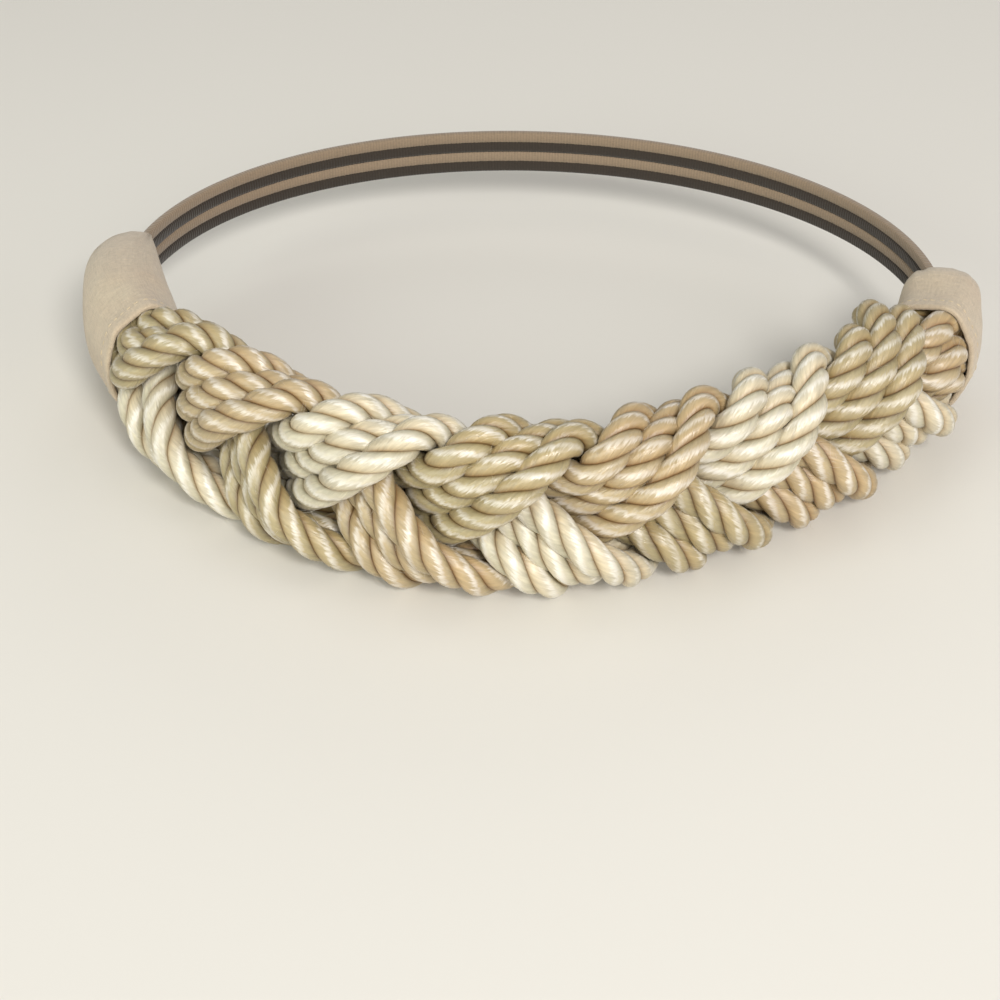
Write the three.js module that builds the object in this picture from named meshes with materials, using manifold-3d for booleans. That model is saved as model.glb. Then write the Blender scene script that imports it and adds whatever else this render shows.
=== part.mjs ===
// A rope belt: nine thick twisted cords in three colours, plaited three by three, with a cloth sleeve
// over each end of the plait and a ribbed elastic strap that closes the loop round the back.
// Millimetres, +Z up, front towards -Y, the origin in the middle of the waist.
import * as THREE from 'three';
import { mergeVertices } from 'three/addons/utils/BufferGeometryUtils.js';
import Module from 'manifold-3d';

const wasm = await Module();
wasm.setup();

// The loop that the middle of the belt follows, seen from above. Its two front quarters are drawn in
// a little, the right one more.
const LOOP_HALF_WIDTH = 134;
const LOOP_FRONT_DEPTH = 121;
const LOOP_BACK_DEPTH = 106;
const FLATTER_LEFT = 2;
const FLATTER_RIGHT = 9;

// The plait, with its two ends measured along the loop from the middle of the front.
const PLAIT_LEFT = 136;
const PLAIT_RIGHT = 166;
const PLAIT_PERIOD = 118;
const PLAIT_HEIGHT = 57;
const PLAIT_LEAN = 7;
const ROPE_DIAMETER = 10.8;
const ROPE_TAIL = 18;
const STRAND_GAP = 0.35;

// The cloth sleeves over the ends.
const SLEEVE_LEFT_LENGTH = 71;
const SLEEVE_RIGHT_LENGTH = 38;
const SLEEVE_HEIGHT = 42;
const SLEEVE_THICKNESS = 31;
const SLEEVE_WALL = 1.6;
const SLEEVE_GAP = 0.4;
const HEM_WIDTH = 4.5;
const HEM_RISE = 0.5;

// The strap round the back.
const STRAP_HEIGHT = 15.5;
const STRAP_THICKNESS = 3;
const STRAP_GROOVE = 0.5;
const STRAP_TAIL = 16;
const STRAP_GAP = 0.6;

// How finely the forms are faceted.
const SETTLE_STEP = 2.5;
const ROPE_STEP = 8;
const ROPE_SIDES = 7;
const SLEEVE_SIDES = 18;
const SLEEVE_RINGS = 7;
const STRAP_STEP = 14;

// How far a sleeve has narrowed from its mouth to the strap, at shares of its length.
const SLEEVE_TAPER = [
  { along: 0, narrowed: 0 },
  { along: 0.35, narrowed: 0.03 },
  { along: 0.55, narrowed: 0.16 },
  { along: 0.75, narrowed: 0.45 },
  { along: 0.9, narrowed: 0.8 },
  { along: 1, narrowed: 1 },
];

// A hem's rows from the mouth inwards, as shares of its width; the first three stand proud.
const HEM_ROWS = [0, 0.5, 0.9, 1.1];
const HEM_PROUD_ROWS = 3;

// The strap's ribs and the grooves between them, from its upper edge down, as shares of its height.
const STRAP_RIBS = [
  { from: 0, to: 0.22 },
  { from: 0.25, to: 0.48 },
  { from: 0.51, to: 0.72 },
  { from: 0.75, to: 1 },
];

// How far the plait has run through its cycle on the way from the middle of the front to each end, in
// shares of the length to that end. The right is negative. It is loosest on the left.
const PLAIT_RUN = [
  { along: -1, run: -0.96 },
  { along: -0.62, run: -0.615 },
  { along: 0, run: 0 },
  { along: 0.44, run: 0.42 },
  { along: 1, run: 0.891 },
];

// The strands' places in the plait's cycle at the middle of the front, in degrees.
const STRANDS = [
  { name: 'strand_ivory', phase: 8, color: 0xded8bc, roughness: 0.4 },
  { name: 'strand_olive', phase: 128, color: 0xb5a172, roughness: 0.42 },
  { name: 'strand_champagne', phase: 248, color: 0xcfb98c, roughness: 0.4 },
];
const ROPES_PER_STRAND = 3;
const ROPE_LAG = 22;

const mix = (a, b, t) => a + (b - a) * t;
const clamp = (x, low, high) => Math.min(high, Math.max(low, x));
const radians = THREE.MathUtils.degToRad;

function fromTable(table, column, along, eased = true) {
  const next = clamp(table.findIndex((row) => row.along >= along), 1, table.length - 1);
  const [a, b] = [table[next - 1], table[next]];
  const t = clamp((along - a.along) / (b.along - a.along), 0, 1);
  return mix(a[column], b[column], eased ? t * t * (3 - 2 * t) : t);
}

// The loop as points at even steps of angle, with the length along it; positive lengths run from the
// middle of the front towards -X.
const LOOP_POINTS = 1440;
const loop = [];
for (let i = 0; i <= LOOP_POINTS; i++) {
  const angle = 2 * Math.PI * i / LOOP_POINTS;
  const inFront = Math.cos(angle) > 0;
  const depth = inFront ? mix(LOOP_FRONT_DEPTH, LOOP_BACK_DEPTH, Math.sin(angle) ** 2) : LOOP_BACK_DEPTH;
  const flatter = angle < Math.PI ? FLATTER_LEFT : FLATTER_RIGHT;
  const x = -LOOP_HALF_WIDTH * Math.sin(angle);
  const y = -depth * Math.cos(angle) + (inFront ? flatter * Math.sin(2 * angle) ** 2 : 0);
  const last = loop[i - 1];
  loop.push({ x, y, length: last ? last.length + Math.hypot(x - last.x, y - last.y) : 0 });
}
const LOOP_LENGTH = loop[LOOP_POINTS].length;

function loopPoint(length) {
  const wanted = THREE.MathUtils.euclideanModulo(length, LOOP_LENGTH);
  let low = 0;
  let high = LOOP_POINTS;
  while (high - low > 1) {
    const middle = (low + high) >> 1;
    if (loop[middle].length > wanted) high = middle;
    else low = middle;
  }
  const t = (wanted - loop[low].length) / (loop[high].length - loop[low].length);
  return new THREE.Vector3(mix(loop[low].x, loop[high].x, t), mix(loop[low].y, loop[high].y, t), 0);
}

// The loop's direction, outward side and curvature at a length along it.
const SLOPE_REACH = 3;
function loopFrame(length) {
  const before = loopPoint(length - SLOPE_REACH);
  const here = loopPoint(length);
  const after = loopPoint(length + SLOPE_REACH);
  const along = after.clone().sub(before).normalize();
  const outward = new THREE.Vector3(-along.y, along.x, 0);
  const bend = before.add(after).multiplyScalar(0.5).sub(here);
  return { here, along, outward, curvature: -2 * bend.dot(outward) / SLOPE_REACH ** 2 };
}

// A point of the belt: along the loop, outward from its middle, and up.
function beltPoint(length, outward, up) {
  const frame = loopFrame(length);
  return frame.here.addScaledVector(frame.outward, outward).setZ(up);
}

// A sleeve's outer half sizes where it has covered a share of its length, and how square its section
// is: 2 is an ellipse, and more is nearer to the strap's flat section.
const MOUTH_SQUARENESS = 2.2;
const TIP_SQUARENESS = 8;
const TIP_HEIGHT = STRAP_HEIGHT + 2 * (STRAP_GAP + SLEEVE_WALL);
const TIP_THICKNESS = STRAP_THICKNESS + 2 * (STRAP_GAP + SLEEVE_WALL);
function sleeveSize(share) {
  const narrowed = fromTable(SLEEVE_TAPER, 'narrowed', share);
  return {
    up: mix(SLEEVE_HEIGHT, TIP_HEIGHT, narrowed) / 2,
    out: mix(SLEEVE_THICKNESS, TIP_THICKNESS, narrowed) / 2,
    squareness: mix(MOUTH_SQUARENESS, TIP_SQUARENESS, narrowed),
  };
}

// Where a length along the loop lies in the sleeve on its side, or how far short of it.
function intoSleeve(length) {
  return length > 0 ? length - PLAIT_LEFT : -PLAIT_RIGHT - length;
}

// The plait settles as real cords do: they start on the loose three-strand path, are drawn tight and
// push each other aside. Cords of one strand nest into each other, and those of two strands lie their
// thickness apart. Points of two cords are tried against each other within a reach in thicknesses.
const SETTLE_ROUNDS = 420;
const FINAL_ROUNDS = 40;
const PULL = 0.08;
const STIFFNESS = 0.05;
const KEEP_PULL = 0.02;
const FLATTER_PULL = 0.6;
const ROOM = 1;
const NEST = 0.84;
const LOOSE_UP = 2.7;
const LOOSE_OUT = 1.5;
const FUNNEL = 26;
const HOLD = 10;
const PUSH_SHARE = 0.5;
const PUSH_REACH = 1.2;

function settledRopes() {
  const first = -PLAIT_RIGHT - ROPE_TAIL;
  const count = Math.round((PLAIT_LEFT + PLAIT_RIGHT + 2 * ROPE_TAIL) / SETTLE_STEP) + 1;
  const step = (PLAIT_LEFT + PLAIT_RIGHT + 2 * ROPE_TAIL) / (count - 1);
  const lengths = Array.from({ length: count }, (_, i) => first + i * step);
  const curvature = lengths.map((length) => loopFrame(length).curvature);
  const ropes = [];
  for (const strand of STRANDS) {
    for (let k = 0; k < ROPES_PER_STRAND; k++) {
      const lag = (k - (ROPES_PER_STRAND - 1) / 2) * ROPE_LAG;
      const phases = lengths.map((length) => {
        const held = clamp(length, -PLAIT_RIGHT + HOLD, PLAIT_LEFT - HOLD);
        const end = length > 0 ? PLAIT_LEFT : PLAIT_RIGHT;
        const run = end * fromTable(PLAIT_RUN, 'run', held / end, false);
        return radians(strand.phase + lag) + 2 * Math.PI * run / PLAIT_PERIOD;
      });
      ropes.push({
        strand,
        up: phases.map((a) => LOOSE_UP * ROPE_DIAMETER * Math.sin(a)),
        out: phases.map((a) => -LOOSE_OUT * ROPE_DIAMETER * Math.sin(2 * a)),
      });
    }
  }

  // The room that the sleeves leave for a cord's middle, wider where the plait runs towards them.
  const room = lengths.map((length) => {
    const into = intoSleeve(length);
    const sleeve = length > 0 ? SLEEVE_LEFT_LENGTH : SLEEVE_RIGHT_LENGTH;
    const size = sleeveSize(clamp(into / sleeve, 0, 1));
    const spread = into > 0 ? 0 : Math.min(1, -into / FUNNEL) ** 2;
    const inside = SLEEVE_WALL + SLEEVE_GAP + ROPE_DIAMETER / 2;
    const faceted = Math.cos(Math.PI / SLEEVE_SIDES);
    return {
      up: faceted * size.up - inside + spread * PLAIT_HEIGHT,
      out: faceted * size.out - inside + spread * PLAIT_HEIGHT,
    };
  });

  const curve = (values) => values.map((value, i) => {
    const before = values[Math.max(i - 1, 0)];
    const after = values[Math.min(i + 1, count - 1)];
    return before + after - 2 * value;
  });
  const drawn = (values, pull) => {
    const bend = curve(values);
    const bendOfBend = curve(bend);
    return values.map((value, i) => value + pull * bend[i] - STIFFNESS * bendOfBend[i]);
  };
  const reach = Math.ceil(PUSH_REACH * ROPE_DIAMETER / step);
  const pushApart = () => {
    const moves = ropes.map(() => ({
      up: new Float64Array(count),
      out: new Float64Array(count),
      touches: new Float64Array(count),
    }));
    for (let a = 0; a < ropes.length; a++) {
      for (let b = a + 1; b < ropes.length; b++) {
        const together = ropes[a].strand === ropes[b].strand;
        const wanted = ROPE_DIAMETER * (together ? NEST : ROOM);
        for (let i = 0; i < count; i++) {
          for (let j = Math.max(0, i - reach); j <= Math.min(count - 1, i + reach); j++) {
            const up = ropes[a].up[i] - ropes[b].up[j];
            const out = ropes[a].out[i] - ropes[b].out[j];
            const middle = (ropes[a].out[i] + ropes[b].out[j]) / 2;
            const along = (i - j) * step * (1 + middle * curvature[i]);
            const distance = Math.hypot(up, out, along);
            if (distance >= wanted || distance === 0) continue;
            const push = (wanted - distance) / distance;
            moves[a].up[i] += push * up;
            moves[a].out[i] += push * out;
            moves[a].touches[i] += 1;
            moves[b].up[j] -= push * up;
            moves[b].out[j] -= push * out;
            moves[b].touches[j] += 1;
          }
        }
      }
    }
    ropes.forEach((rope, a) => {
      for (let i = 0; i < count; i++) {
        const share = PUSH_SHARE / Math.sqrt(Math.max(1, moves[a].touches[i]));
        rope.up[i] += share * moves[a].up[i];
        rope.out[i] += share * moves[a].out[i];
        const over = Math.hypot(rope.up[i] / room[i].up, rope.out[i] / room[i].out);
        if (over > 1) {
          rope.up[i] /= over;
          rope.out[i] /= over;
        }
      }
    });
  };

  for (let round = 0; round < SETTLE_ROUNDS; round++) {
    const height = Math.max(...ropes.flatMap((rope) => rope.up)) * 2 + ROPE_DIAMETER;
    const upPull = height > PLAIT_HEIGHT ? PULL : KEEP_PULL;
    for (const rope of ropes) {
      rope.up = drawn(rope.up, upPull);
      rope.out = drawn(rope.out, PULL * FLATTER_PULL);
    }
    pushApart();
    pushApart();
  }
  for (let round = 0; round < FINAL_ROUNDS; round++) pushApart();

  // Between the sleeves the plait leans, with its lower edge outwards.
  for (const rope of ropes) {
    lengths.forEach((length, i) => {
      const lean = radians(PLAIT_LEAN) * clamp(-intoSleeve(length) / (2 * FUNNEL), 0, 1);
      const [out, up] = [rope.out[i], rope.up[i]];
      rope.out[i] = out * Math.cos(lean) - up * Math.sin(lean);
      rope.up[i] = up * Math.cos(lean) + out * Math.sin(lean);
    });
  }
  return { ropes, lengths };
}

// A closed body through rings of points, with a flat cap at each end, or closed on itself.
function loft(rings, closed = false) {
  const sides = rings[0].length;
  const positions = rings.flat().flatMap((point) => [point.x, point.y, point.z]);
  const faces = [];
  const joins = closed ? rings.length : rings.length - 1;
  for (let i = 0; i < joins; i++) {
    const next = (i + 1) % rings.length;
    for (let j = 0; j < sides; j++) {
      const k = (j + 1) % sides;
      const [a, b, c, d] = [i * sides + j, i * sides + k, next * sides + k, next * sides + j];
      faces.push(a, b, c, a, c, d);
    }
  }
  if (!closed) {
    for (const [ring, start] of [[rings[0], 0], [rings.at(-1), (rings.length - 1) * sides]]) {
      const normal = new THREE.Vector3().crossVectors(
        ring[1].clone().sub(ring[0]),
        ring[Math.floor(sides / 2)].clone().sub(ring[0]),
      );
      const flatX = ring[1].clone().sub(ring[0]).normalize();
      const flatY = normal.normalize().cross(flatX);
      const outline = ring.map((point) => {
        const from = point.clone().sub(ring[0]);
        return new THREE.Vector2(from.dot(flatX), from.dot(flatY));
      });
      const turned = THREE.ShapeUtils.isClockWise(outline) !== (start === 0);
      for (const [a, b, c] of THREE.ShapeUtils.triangulateShape(outline, [])) {
        faces.push(start + a, start + (turned ? c : b), start + (turned ? b : c));
      }
    }
  }
  const geometry = new THREE.BufferGeometry();
  geometry.setAttribute('position', new THREE.Float32BufferAttribute(positions, 3));
  geometry.setIndex(faces);
  return facingOut(geometry);
}

function signedVolume(geometry) {
  const position = geometry.getAttribute('position');
  const index = geometry.getIndex();
  const [a, b, c] = [new THREE.Vector3(), new THREE.Vector3(), new THREE.Vector3()];
  let volume = 0;
  for (let i = 0; i < index.count; i += 3) {
    a.fromBufferAttribute(position, index.getX(i));
    b.fromBufferAttribute(position, index.getX(i + 1));
    c.fromBufferAttribute(position, index.getX(i + 2));
    volume += a.dot(b.cross(c)) / 6;
  }
  return volume;
}

function facingOut(geometry) {
  if (signedVolume(geometry) < 0) {
    const index = Array.from(geometry.getIndex().array);
    for (let i = 0; i < index.length; i += 3) {
      [index[i + 1], index[i + 2]] = [index[i + 2], index[i + 1]];
    }
    geometry.setIndex(index);
  }
  geometry.computeVertexNormals();
  return geometry;
}

function toSolid(geometry) {
  const bare = geometry.clone();
  bare.deleteAttribute('normal');
  bare.deleteAttribute('uv');
  const merged = mergeVertices(bare);
  return new wasm.Manifold(new wasm.Mesh({
    numProp: 3,
    vertProperties: new Float32Array(merged.getAttribute('position').array),
    triVerts: new Uint32Array(merged.getIndex().array),
  }));
}

// The solid as one outer skin: the narrow channels shut in between the joined cords are filled.
const MERGE_WITHIN = 0.02;
function fromSolid(solid) {
  const mesh = solid.simplify(MERGE_WITHIN).getMesh();
  const positions = [];
  for (let i = 0; i < mesh.numVert; i++) {
    positions.push(...mesh.vertProperties.slice(i * mesh.numProp, i * mesh.numProp + 3));
  }
  const skinOf = Array.from({ length: mesh.numVert }, (_, i) => i);
  const root = (i) => {
    while (skinOf[i] !== i) i = skinOf[i] = skinOf[skinOf[i]];
    return i;
  };
  for (let i = 0; i < mesh.triVerts.length; i += 3) {
    skinOf[root(mesh.triVerts[i + 1])] = root(mesh.triVerts[i]);
    skinOf[root(mesh.triVerts[i + 2])] = root(mesh.triVerts[i]);
  }
  const skins = new Map();
  for (let i = 0; i < mesh.triVerts.length; i += 3) {
    const skin = root(mesh.triVerts[i]);
    if (!skins.has(skin)) skins.set(skin, []);
    skins.get(skin).push(...mesh.triVerts.slice(i, i + 3));
  }
  const parts = [...skins.values()].map((faces) => {
    const part = new THREE.BufferGeometry();
    part.setAttribute('position', new THREE.Float32BufferAttribute(positions, 3));
    part.setIndex(faces);
    return part;
  });
  const geometry = parts.reduce((a, b) => (signedVolume(a) > signedVolume(b) ? a : b));
  geometry.computeVertexNormals();
  return geometry;
}

// The cords' tubes. Where the strands press on each other a tube is as thin as the gap needs.
const PROBES = 4;
const PROBE_REACH = 1.5;
function ropeTubes() {
  const { ropes, lengths } = settledRopes();
  const first = lengths[0];
  const last = lengths.at(-1);
  const rings = Math.round((last - first) / ROPE_STEP);
  const lines = ropes.map((rope) => {
    const path = new THREE.CatmullRomCurve3(
      lengths.map((length, i) => beltPoint(length, rope.out[i], rope.up[i])),
    );
    return Array.from({ length: rings + 1 }, (_, r) => path.getPoint(r / rings));
  });
  const near = Math.ceil(PROBE_REACH * ROPE_DIAMETER / ROPE_STEP);
  const piece = new THREE.Line3();
  const probe = new THREE.Vector3();
  const foot = new THREE.Vector3();
  const clearance = ropes.map((rope, a) => Array.from({ length: rings }, (_, r) => {
    let nearest = ROPE_DIAMETER + STRAND_GAP;
    for (let p = 0; p <= PROBES; p++) {
      probe.lerpVectors(lines[a][r], lines[a][r + 1], p / PROBES);
      ropes.forEach((other, b) => {
        if (other.strand === rope.strand) return;
        for (let q = Math.max(0, r - near); q < Math.min(rings, r + near + 1); q++) {
          piece.set(lines[b][q], lines[b][q + 1]).closestPointToPoint(probe, true, foot);
          nearest = Math.min(nearest, probe.distanceTo(foot));
        }
      });
    }
    return nearest;
  }));
  return ropes.map((rope, a) => {
    const sections = lines[a].map((centre, r) => {
      const before = Math.max(r - 1, 0);
      const after = Math.min(r, rings - 1);
      const radius = (Math.min(clearance[a][before], clearance[a][after]) - STRAND_GAP) / 2;
      const along = lines[a][Math.min(r + 1, rings)].clone().sub(lines[a][before]).normalize();
      const outward = loopFrame(mix(first, last, r / rings)).outward;
      const side = outward.addScaledVector(along, -outward.dot(along)).normalize();
      const across = new THREE.Vector3().crossVectors(along, side);
      return Array.from({ length: ROPE_SIDES }, (_, k) => {
        const angle = 2 * Math.PI * (k + 0.5) / ROPE_SIDES;
        return centre.clone()
          .addScaledVector(side, radius * Math.cos(angle))
          .addScaledVector(across, radius * Math.sin(angle));
      });
    });
    return { strand: rope.strand, geometry: loft(sections) };
  });
}

// A sleeve is a cloth tube with an open mouth round the plait, a turned hem, and a narrow open end
// round the strap.
function sleeve(side) {
  const total = side > 0 ? SLEEVE_LEFT_LENGTH : SLEEVE_RIGHT_LENGTH;
  const mouth = side > 0 ? PLAIT_LEFT : -PLAIT_RIGHT;
  const shares = HEM_ROWS.map((row) => row * HEM_WIDTH / total);
  const hemEnd = shares.at(-1);
  for (let i = 1; i <= SLEEVE_RINGS; i++) shares.push(mix(hemEnd, 1, i / SLEEVE_RINGS));
  const ring = (share, inset) => {
    const size = sleeveSize(share);
    const rounded = (x) => Math.sign(x) * Math.abs(x) ** (2 / size.squareness);
    return Array.from({ length: SLEEVE_SIDES }, (_, k) => {
      const angle = 2 * Math.PI * k / SLEEVE_SIDES;
      return beltPoint(
        mouth + side * share * total,
        (size.out - inset) * rounded(Math.cos(angle)),
        (size.up - inset) * rounded(Math.sin(angle)),
      );
    });
  };
  const outside = shares.map((share, i) => ring(share, i < HEM_PROUD_ROWS ? -HEM_RISE : 0));
  const inside = shares.map((share) => ring(share, SLEEVE_WALL)).reverse();
  return loft([...outside, ...inside], true);
}

// The strap's section has a groove on both faces between its ribs.
function strapSection() {
  const half = STRAP_THICKNESS / 2;
  const face = STRAP_RIBS.flatMap((rib, i) => {
    const points = [[half, rib.from], [half, rib.to]];
    const next = STRAP_RIBS[i + 1];
    if (next) points.push([half - STRAP_GROOVE, (rib.to + next.from) / 2]);
    return points;
  });
  const other = face.map(([out, share]) => [-out, share]).reverse();
  return [...face, ...other].map(([out, share]) => ({ out, up: STRAP_HEIGHT * (0.5 - share) }));
}

function strap() {
  const from = PLAIT_LEFT + SLEEVE_LEFT_LENGTH - STRAP_TAIL;
  const to = LOOP_LENGTH - PLAIT_RIGHT - SLEEVE_RIGHT_LENGTH + STRAP_TAIL;
  const section = strapSection();
  const steps = Math.ceil((to - from) / STRAP_STEP);
  const rings = [];
  for (let i = 0; i <= steps; i++) {
    rings.push(section.map(({ out, up }) => beltPoint(mix(from, to, i / steps), out, up)));
  }
  return loft(rings);
}

const belt = new THREE.Group();
function addPiece(name, geometry, color, roughness) {
  const material = new THREE.MeshStandardMaterial({ color, roughness, metalness: 0 });
  const mesh = new THREE.Mesh(geometry, material);
  mesh.name = name;
  belt.add(mesh);
}

const tubes = ropeTubes();
for (const strand of STRANDS) {
  const solids = tubes.filter((tube) => tube.strand === strand).map((tube) => toSolid(tube.geometry));
  const joined = solids.reduce((whole, solid) => whole.add(solid));
  addPiece(strand.name, fromSolid(joined), strand.color, strand.roughness);
}
addPiece('sleeve_left', sleeve(1), 0xd2c3a2, 0.75);
addPiece('sleeve_right', sleeve(-1), 0xd2c3a2, 0.75);
addPiece('back_strap', strap(), 0x8a7c68, 0.8);

export default belt;
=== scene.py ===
"""A rope belt: nine twisted cords plaited three by three, a cloth sleeve over each end of the plait and
a ribbed elastic strap round the back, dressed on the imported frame. Metres, front towards -Y."""
import math

import bpy
import numpy as np
from bpy.props import FloatProperty, FloatVectorProperty, PointerProperty
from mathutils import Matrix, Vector


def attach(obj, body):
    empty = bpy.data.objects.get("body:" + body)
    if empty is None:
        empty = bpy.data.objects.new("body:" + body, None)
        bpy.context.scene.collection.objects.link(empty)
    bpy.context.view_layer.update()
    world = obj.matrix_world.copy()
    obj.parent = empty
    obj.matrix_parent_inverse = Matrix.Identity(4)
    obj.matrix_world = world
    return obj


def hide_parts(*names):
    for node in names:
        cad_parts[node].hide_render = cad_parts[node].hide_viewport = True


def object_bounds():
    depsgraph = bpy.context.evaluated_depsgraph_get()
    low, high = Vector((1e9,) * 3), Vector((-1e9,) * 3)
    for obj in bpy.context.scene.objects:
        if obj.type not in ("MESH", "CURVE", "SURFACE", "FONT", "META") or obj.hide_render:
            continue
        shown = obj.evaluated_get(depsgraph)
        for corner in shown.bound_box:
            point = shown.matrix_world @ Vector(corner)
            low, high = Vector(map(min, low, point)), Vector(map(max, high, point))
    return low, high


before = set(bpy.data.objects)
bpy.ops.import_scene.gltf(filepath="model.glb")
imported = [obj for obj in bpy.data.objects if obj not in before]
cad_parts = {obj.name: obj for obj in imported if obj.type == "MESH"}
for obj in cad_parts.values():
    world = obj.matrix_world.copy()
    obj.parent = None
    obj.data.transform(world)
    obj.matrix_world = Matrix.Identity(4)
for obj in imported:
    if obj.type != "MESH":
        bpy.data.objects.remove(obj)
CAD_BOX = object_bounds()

bl_info = {
    "name": "Rope belt",
    "version": (1, 0, 0),
    "blender": (4, 5, 0),
    "location": "3D View > Sidebar > Rope belt",
    "description": "Lays the cords of a plaited rope belt and sews on its sleeves and strap",
    "category": "Object",
}

# Sizes and colours


def length(name, description, default):
    return FloatProperty(name=name, description=description, default=default,
                         min=0.0, precision=4, subtype="DISTANCE", unit="LENGTH")


def share(name, description, default):
    return FloatProperty(name=name, description=description, default=default,
                         min=0.0, max=1.0, subtype="FACTOR")


def linear(code):
    """A hex colour as the linear light that a shader takes."""
    parts = [int(code[i:i + 2], 16) / 255 for i in (1, 3, 5)]
    return [p / 12.92 if p <= 0.04045 else ((p + 0.055) / 1.055) ** 2.4 for p in parts]


def colour(name, description, code):
    return FloatVectorProperty(name=name, description=description, default=linear(code),
                               min=0.0, max=1.0, size=3, subtype="COLOR")


class BeltSizes(bpy.types.PropertyGroup):
    loop_half_width: length("Loop half width", "Middle of the waist to the side of the loop", 0.134)
    loop_front_depth: length("Loop front depth", "Middle of the waist to the front of the loop", 0.121)
    loop_back_depth: length("Loop back depth", "Middle of the waist to the back of the loop", 0.106)
    flatter_left: length("Flatter left", "How far the front's left quarter is drawn in", 0.002)
    flatter_right: length("Flatter right", "How far the front's right quarter is drawn in", 0.009)
    plait_left: length("Plait left", "Front middle to the left end of the plait", 0.136)
    plait_right: length("Plait right", "Front middle to the right end of the plait", 0.166)
    plait_period: length("Plait period", "Length in which a strand comes back to its place", 0.118)
    plait_height: length("Plait height", "Height at which the plait stops being drawn in", 0.057)
    rope_diameter: length("Cord thickness", "Thickness of one twisted cord", 0.0108)
    rope_lay: length("Cord lay", "Length of cord in which a ply goes once round", 0.0306)
    groove_depth: share("Groove depth", "Depth of the grooves between plies, of the cord's radius", 0.3)
    sleeve_left_length: length("Left sleeve length", "Left sleeve from its mouth to its tip", 0.071)
    sleeve_right_length: length("Right sleeve length", "Right sleeve from its mouth to its tip", 0.038)
    sleeve_height: length("Sleeve height", "Height of a sleeve's mouth", 0.042)
    sleeve_thickness: length("Sleeve thickness", "Thickness of a sleeve's mouth", 0.031)
    sleeve_wall: length("Sleeve cloth", "Thickness of the sleeves' doubled cloth", 0.0016)
    hem_width: length("Hem width", "Width of the turned hem at a sleeve's mouth", 0.0045)
    strap_height: length("Strap height", "Width of the elastic strap", 0.0155)
    strap_thickness: length("Strap thickness", "Thickness of the elastic strap", 0.003)


class BeltColours(bpy.types.PropertyGroup):
    ivory: colour("Ivory", "Palest cords", "#dfd6bd")
    olive: colour("Olive gold", "Darkest cords", "#bbab82")
    champagne: colour("Champagne", "Golden cords", "#c5b089")
    # The groove colour is painted shade that the cords take between their plies.
    groove: colour("Groove", "Warm shade between the plies", "#9a7040")
    cloth: colour("Cloth", "Sleeves", "#bcae97")
    thread: colour("Thread", "Sewing thread", "#c4b393")
    strap_tan: colour("Strap tan", "Light ribs of the strap", "#8d7b66")
    strap_brown: colour("Strap brown", "Dark ribs of the strap", "#352e27")
    floor: colour("Floor", "Floor", "#dcd9d2")


# The belt's line

LOOP_POINTS = 1440
# How far to each side the line is read for its slope and its bend.
SLOPE_REACH = 0.003


def mix(a, b, t):
    return a + (b - a) * t


class Loop:
    """The line that the belt follows, seen from above. Lengths run from the front middle towards -X."""

    def __init__(self, sizes):
        angle = np.linspace(0, 2 * np.pi, LOOP_POINTS + 1)
        eased = mix(sizes.loop_front_depth, sizes.loop_back_depth, np.sin(angle) ** 2)
        depth = np.where(np.cos(angle) > 0, eased, sizes.loop_back_depth)
        self.x = -sizes.loop_half_width * np.sin(angle)
        flatter = np.where(angle < np.pi, sizes.flatter_left, sizes.flatter_right)
        self.y = -depth * np.cos(angle) + np.where(np.cos(angle) > 0, flatter, 0) * np.sin(2 * angle) ** 2
        steps = np.hypot(np.diff(self.x), np.diff(self.y))
        self.lengths = np.concatenate([[0], np.cumsum(steps)])
        self.total = self.lengths[-1]

    def point(self, along):
        wanted = np.mod(along, self.total)
        x = np.interp(wanted, self.lengths, self.x)
        y = np.interp(wanted, self.lengths, self.y)
        return np.stack([x, y, np.zeros_like(x)], -1)

    def outward(self, along):
        slope = self.point(along + SLOPE_REACH) - self.point(along - SLOPE_REACH)
        slope /= np.linalg.norm(slope, axis=-1, keepdims=True)
        return np.stack([-slope[..., 1], slope[..., 0], np.zeros_like(slope[..., 0])], -1)

    def curvature(self, along):
        bend = (self.point(along - SLOPE_REACH) + self.point(along + SLOPE_REACH)) / 2 - self.point(along)
        return -2 * np.sum(bend * self.outward(along), -1) / SLOPE_REACH ** 2

    def belt(self, along, out, up):
        """Points of the belt: along the loop, outward from its middle, and up."""
        points = self.point(along) + np.asarray(out)[..., None] * self.outward(along)
        points[..., 2] = up
        return points


# A sleeve narrows slowly at first. Its section goes from near an ellipse to near the strap's oblong.
TAPER = 3.0
MOUTH_SQUARENESS = 2.2
TIP_SQUARENESS = 8
STRAP_GAP = 0.0006


def sleeve_size(sizes, along, strap_gap=STRAP_GAP):
    """A sleeve's outer half sizes at shares of its length, and how square its section is."""
    narrowed = along ** TAPER
    tip = 2 * (strap_gap + sizes.sleeve_wall)
    return (
        mix(sizes.sleeve_height, sizes.strap_height + tip, narrowed) / 2,
        mix(sizes.sleeve_thickness, sizes.strap_thickness + tip, narrowed) / 2,
        mix(MOUTH_SQUARENESS, TIP_SQUARENESS, narrowed),
    )


# The plait

# The strands' places in the plait's cycle at the middle of the front, in degrees.
PHASES = {"ivory": 8, "olive": 128, "champagne": 248}
# How much of its cycle the plait has run, in shares of the length to each end: it is tightest on the right.
PLAIT_RUN = {
    "along": (-1, -0.62, 0, 0.44, 1),
    "run": (-0.96, -0.615, 0, 0.42, 0.891),
}
# The plait leans with its lower edge outwards, in degrees.
LEAN = 7
# A strand's cords follow each other through the cycle, in degrees, and end this far inside the sleeves.
CORDS_PER_STRAND = 3
CORD_LAG = 22
CORD_TAIL = 0.018
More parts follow.
